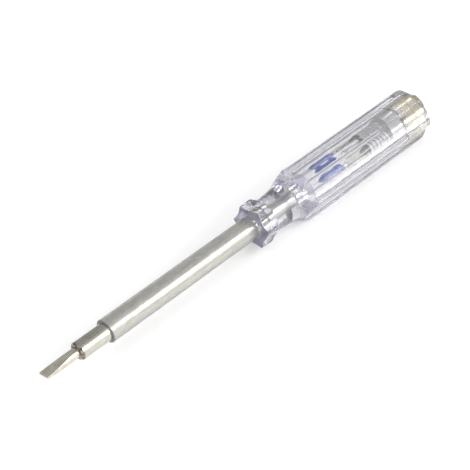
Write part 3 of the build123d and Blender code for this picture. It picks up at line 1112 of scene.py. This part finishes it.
# The head's dome is part of a ball.
dome_height = head_height - head_rim
dome_radius = (head_radius**2 + dome_height**2) / (2 * dome_height)
pilot_outline = eased(
    [
        (pilot_face_x, 0.0),
        (pilot_face_x, pilot_radius - pilot_corner),
        (pilot_face_x + pilot_corner, pilot_radius),
        (pilot_end_x, pilot_radius),
        (pilot_end_x, cup_radius - press_gap),
    ],
    ease=0.1,
    steps=3,
    closed=False,
)
cap_rings = [ring_at(x, radius, sides=96) for x, radius in pilot_outline]
thread_rings = round((plug_x - thread_x) / thread_step)
cap_rings += [thread_ring(thread_x + thread_step * step) for step in range(thread_rings)]
head_outline = eased(
    [
        (plug_x, thread_radius),
        (plug_x + plug_chamfer, plug_radius),
        (butt_x, plug_radius),
        (butt_x, head_radius),
        (butt_x + head_rim, head_radius),
    ]
    + [
        (tool_length - dome_sink - dome_radius + math.sqrt(dome_radius**2 - r**2), r)
        for r in [head_radius * (1 - step / dome_steps) for step in range(1, dome_steps + 1)]
    ],
    ease=0.12,
    steps=3,
    closed=False,
)
cap_rings += [ring_at(x, radius, sides=96) for x, radius in head_outline]
brass_cap = skin_over("brass_cap", cap_rings)
slot_block = bpy.data.meshes.new("slot_block")
slot_shape = bmesh.new()
slot_size = Vector((slot_block_length, slot_block_width, 2 * slot_half_width)) / 1000
slot_middle = Vector(on_tool(tool_length - slot_depth + slot_block_length / 2, 0, 0))
bmesh.ops.create_cube(slot_shape, size=1)
bmesh.ops.scale(slot_shape, vec=slot_size, verts=slot_shape.verts)
bmesh.ops.translate(slot_shape, vec=slot_middle, verts=slot_shape.verts)
slot_shape.to_mesh(slot_block)
slot_shape.free()
slot_piece = bpy.data.objects.new("slot_block", slot_block)
bpy.context.scene.collection.objects.link(slot_piece)
hollowed(brass_cap, slot_piece)
fit_piece(brass_cap, turned_brass, "cap_body", "end_cap")

# Table that the tool lies on: a smooth, matt, pale board that keeps the soft shadow. A faint glow,
# seen only by the camera, in metal and through clear pieces, lifts it to white.

table_half = 3.0
table_gap = 0.00005
table_glow = 0.24
table_corners = [(table_half * x, table_half * y, 0) for x, y in ((-1, -1), (1, -1), (1, 1), (-1, 1))]
table_mesh = bpy.data.meshes.new("pale_table")
table_mesh.from_pydata(table_corners, [], [(0, 1, 2, 3)])
pale_table = bpy.data.objects.new("pale_table", table_mesh)
bpy.context.scene.collection.objects.link(pale_table)
pale_table.location.z = -table_gap
pale_board = new_finish("pale_board", (0.95, 0.95, 0.95), 0.9)
board_nodes, board_links = pale_board.node_tree.nodes, pale_board.node_tree.links
board_shader = board_nodes["Principled BSDF"]
board_shader.inputs["Specular IOR Level"].default_value = 0.0
ray_kind = board_nodes.new("ShaderNodeLightPath")
seen = ray_kind.outputs["Is Camera Ray"]
for kind in ("Is Glossy Ray", "Is Transmission Ray"):
    seen = combined(pale_board, "MAXIMUM", seen, ray_kind.outputs[kind])
board_shader.inputs["Emission Color"].default_value = (1, 1, 1, 1)
glow = combined(pale_board, "MULTIPLY", seen, table_glow)
board_links.new(glow, board_shader.inputs["Emission Strength"])
table_mesh.materials.append(pale_board)

# Studio light: a grey room that is lighter on the camera's right and behind it, a wide soft box low
# on the same side with a narrow bright strip before it, and one soft box overhead.

lighter_side = (-0.25, -0.86, -0.36)
darkest_room = 0.44
lightest_room = 0.8
room = bpy.data.worlds.new("studio_room")
bpy.context.scene.world = room
room.use_nodes = True
room_nodes, room_links = room.node_tree.nodes, room.node_tree.links
backdrop = room_nodes["Background"]
direction = room_nodes.new("ShaderNodeTexCoord")
facing = room_nodes.new("ShaderNodeVectorMath")
facing.operation = "DOT_PRODUCT"
facing.inputs[1].default_value = lighter_side
room_tone = room_nodes.new("ShaderNodeMapRange")
room_tone.interpolation_type = "SMOOTHSTEP"
room_tone.inputs["From Min"].default_value = -0.6
room_tone.inputs["From Max"].default_value = 0.4
room_tone.inputs["To Min"].default_value = darkest_room
room_tone.inputs["To Max"].default_value = lightest_room
room_links.new(direction.outputs["Generated"], facing.inputs[0])
room_links.new(facing.outputs["Value"], room_tone.inputs["Value"])
room_links.new(room_tone.outputs["Result"], backdrop.inputs["Strength"])
backdrop.inputs["Color"].default_value = (0.99, 0.99, 1.0, 1)


def soft_box(name, place, width, height, radiance):
    """A rectangular soft light that faces the middle of the tool."""
    light = bpy.data.lights.new(name, "AREA")
    light.shape = "RECTANGLE"
    light.size = width
    light.size_y = height
    light.energy = radiance * math.pi * width * height
    box = bpy.data.objects.new(name, light)
    bpy.context.scene.collection.objects.link(box)
    box.location = place
    box.rotation_euler = (-Vector(place)).to_track_quat("-Z", "Y").to_euler()


soft_box("side_box", (0.75, -1.1, 0.52), width=1.3, height=0.95, radiance=1.6)
soft_box("strip_box", (0.78, -0.96, 0.61), width=1.3, height=0.38, radiance=5.7)
soft_box("top_box", (-0.5, 0.35, 1.6), width=1.0, height=1.0, radiance=2.0)

# Camera: a long lens, ahead of the blade and to its right, looking down along the tool. Its place
# and turn were solved from outline points of the photograph.

camera_place = (-0.22003, -0.24567, 0.24222)
camera_back = Vector((-0.5372, -0.6106, 0.5819)).normalized()
rough_right = Vector((0.6861, -0.7176, -0.1196))
camera_up = camera_back.cross(rough_right).normalized()
camera_right = camera_up.cross(camera_back)
camera_data = bpy.data.cameras.new("camera")
camera_data.sensor_fit = "HORIZONTAL"
camera_data.sensor_width = 36
camera_data.lens = 119.28
camera_data.clip_start = 0.01
camera_data.clip_end = 20
camera = bpy.data.objects.new("camera", camera_data)
bpy.context.scene.collection.objects.link(camera)
camera_turn = Matrix((camera_right, camera_up, camera_back)).transposed().to_4x4()
camera.matrix_world = Matrix.Translation(camera_place) @ camera_turn
bpy.context.scene.camera = camera
bpy.context.scene.view_settings.view_transform = "Standard"

# Light that is thrown back and forth inside the handle needs more bounces than usual, or it goes black.
light_paths = bpy.context.scene.cycles
light_paths.max_bounces = 32
light_paths.glossy_bounces = 24
light_paths.transmission_bounces = 24
